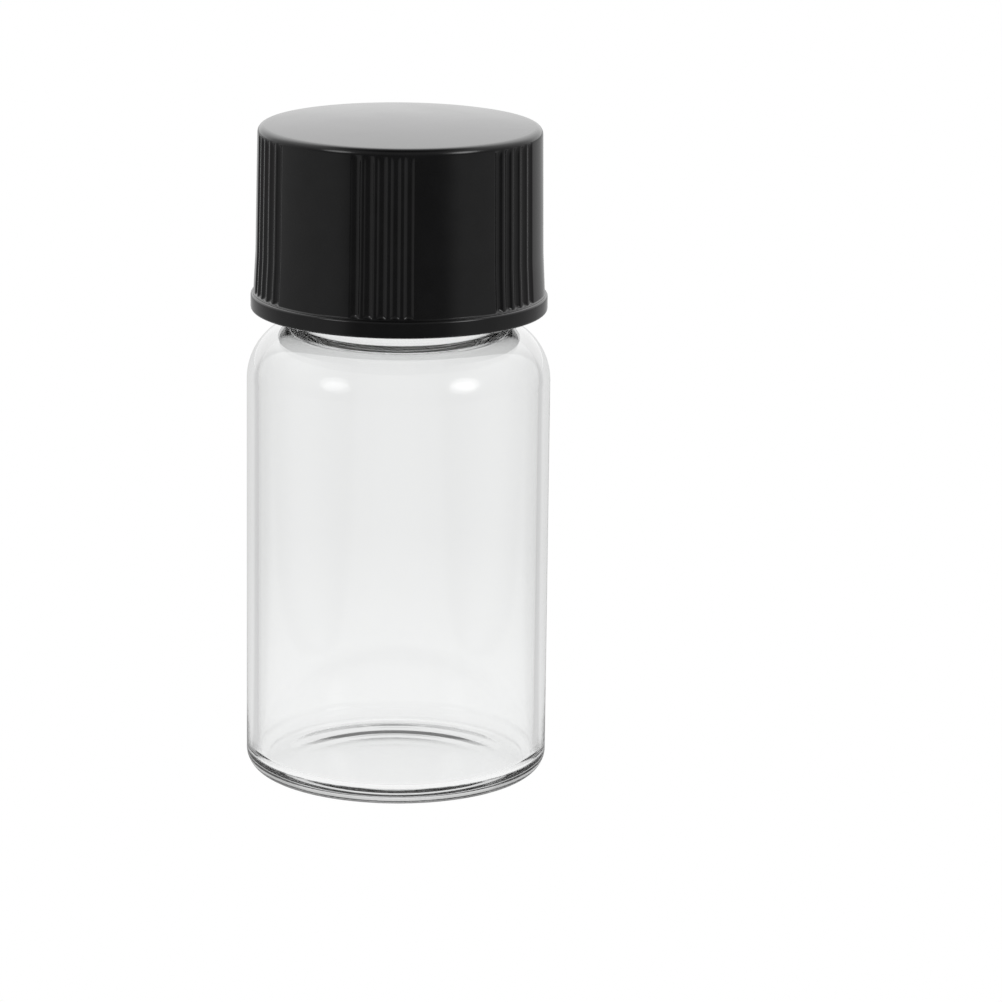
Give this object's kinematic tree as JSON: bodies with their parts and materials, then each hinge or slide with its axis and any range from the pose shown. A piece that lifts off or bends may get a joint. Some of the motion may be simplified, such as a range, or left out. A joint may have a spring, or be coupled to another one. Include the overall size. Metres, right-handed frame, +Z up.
{
  "type": "glass sample vial",
  "caption": "Small clear glass vial with a rounded shoulder and a black fluted screw cap, for holding small lab samples.",
  "frame": {"origin": "centre of the foot, on the surface the vial stands on", "axes": "+Z up along the axis of the vial, from the foot to the cap; +X and +Y across it, with one fluted group of the cap facing -Y, just to its left"},
  "size_m": [0.016, 0.016, 0.035],
  "materials": {
    "clear_glass": "clear, fire-polished, smooth",
    "black_cap": "glossy moulded black plastic",
    "white_liner": "matte closed-cell foam"
  },
  "bodies": {
    "vial": {"glass_vial": "clear_glass"},
    "liner": {"cap_liner": "white_liner"},
    "cap": {"screw_cap": "black_cap"}
  },
  "joints": [
    {"name": "cap_lift", "type": "slide", "parent": "vial", "child": "liner", "axis": [0, 0, 1], "range_m": [0, 0.00794]},
    {"name": "cap_turn", "type": "hinge", "parent": "liner", "child": "cap", "pos_m": [0, 0, 0.0337], "axis": [0, 0, 1], "range_deg": [0, 1350]}
  ],
  "couplings": [
    {"joint": "cap_turn", "follows": "cap_lift", "rad_per_m": 2968.4}
  ]
}
